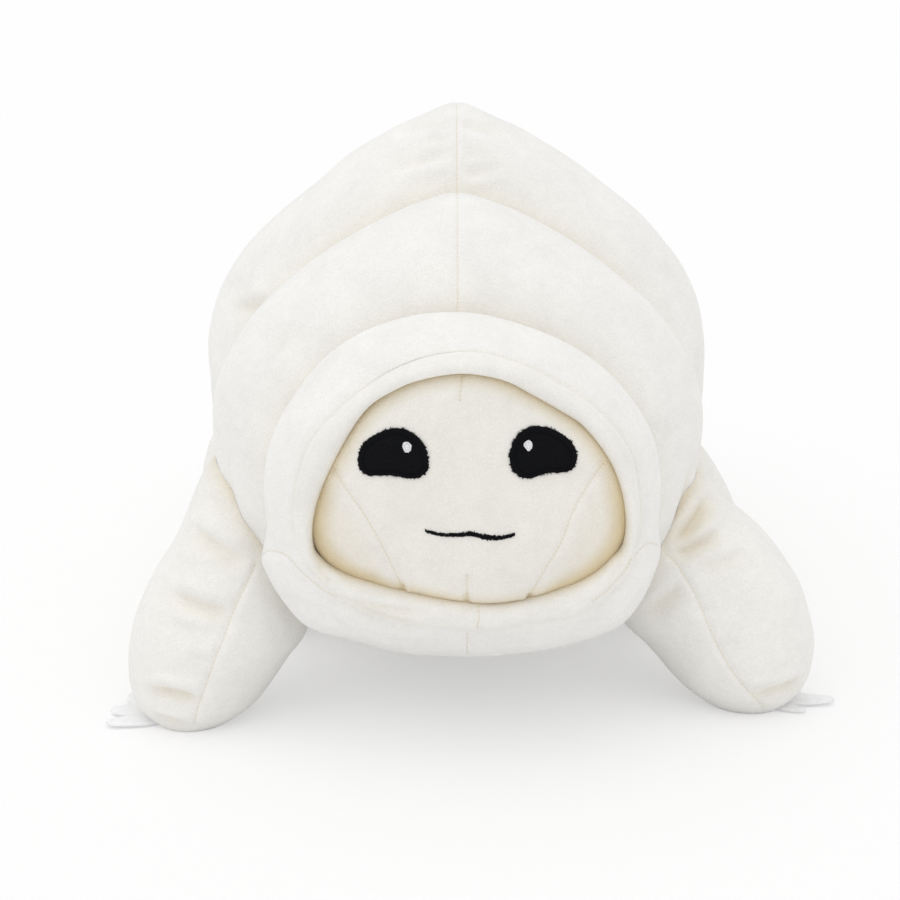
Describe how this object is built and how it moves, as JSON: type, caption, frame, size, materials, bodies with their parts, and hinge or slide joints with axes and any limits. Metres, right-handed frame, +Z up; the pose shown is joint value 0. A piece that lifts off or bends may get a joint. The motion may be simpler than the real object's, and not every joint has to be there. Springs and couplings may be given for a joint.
{
  "type": "plush tardigrade",
  "caption": "Stuffed plush tardigrade: a hooded, embroidered face, lobed body rings with a ridge seam, stubby splayed legs and flat felt claws.",
  "frame": {"origin": "on the floor, on the animal's middle plane, under the middle of the waist ring, where its flat belly rests", "axes": "+Z up; the animal faces -Y and lies along Y; its own left side is +X"},
  "size_m": [0.3679, 0.498, 0.287],
  "materials": {
    "cream_minky": "short soft pile, matt",
    "black_thread": "satin-stitched embroidery",
    "white_thread": "satin-stitched embroidery",
    "white_felt": "pressed felt, matt"
  },
  "bodies": {
    "root": {"hood": "cream_minky", "head": "cream_minky", "shoulder_ring": "cream_minky", "waist_ring": "cream_minky", "hip_ring": "cream_minky", "tail_end": "cream_minky", "front_left_leg": "cream_minky", "front_right_leg": "cream_minky", "second_left_leg": "cream_minky", "second_right_leg": "cream_minky", "third_left_leg": "cream_minky", "third_right_leg": "cream_minky", "tail_left_leg": "cream_minky", "tail_right_leg": "cream_minky", "front_left_leg_claw_1": "white_felt", "front_left_leg_claw_2": "white_felt", "front_left_leg_claw_3": "white_felt", "front_right_leg_claw_1": "white_felt", "front_right_leg_claw_2": "white_felt", "front_right_leg_claw_3": "white_felt", "second_left_leg_claw_1": "white_felt", "second_left_leg_claw_2": "white_felt", "second_left_leg_claw_3": "white_felt", "second_right_leg_claw_1": "white_felt", "second_right_leg_claw_2": "white_felt", "second_right_leg_claw_3": "white_felt", "third_left_leg_claw_1": "white_felt", "third_left_leg_claw_2": "white_felt", "third_left_leg_claw_3": "white_felt", "third_right_leg_claw_1": "white_felt", "third_right_leg_claw_2": "white_felt", "third_right_leg_claw_3": "white_felt", "tail_left_leg_claw_1": "white_felt", "tail_left_leg_claw_2": "white_felt", "tail_left_leg_claw_3": "white_felt", "tail_right_leg_claw_1": "white_felt", "tail_right_leg_claw_2": "white_felt", "tail_right_leg_claw_3": "white_felt", "left_eye": "black_thread", "right_eye": "black_thread", "mouth": "black_thread", "left_eye_glint": "white_thread", "right_eye_glint": "white_thread"}
  },
  "joints": []
}
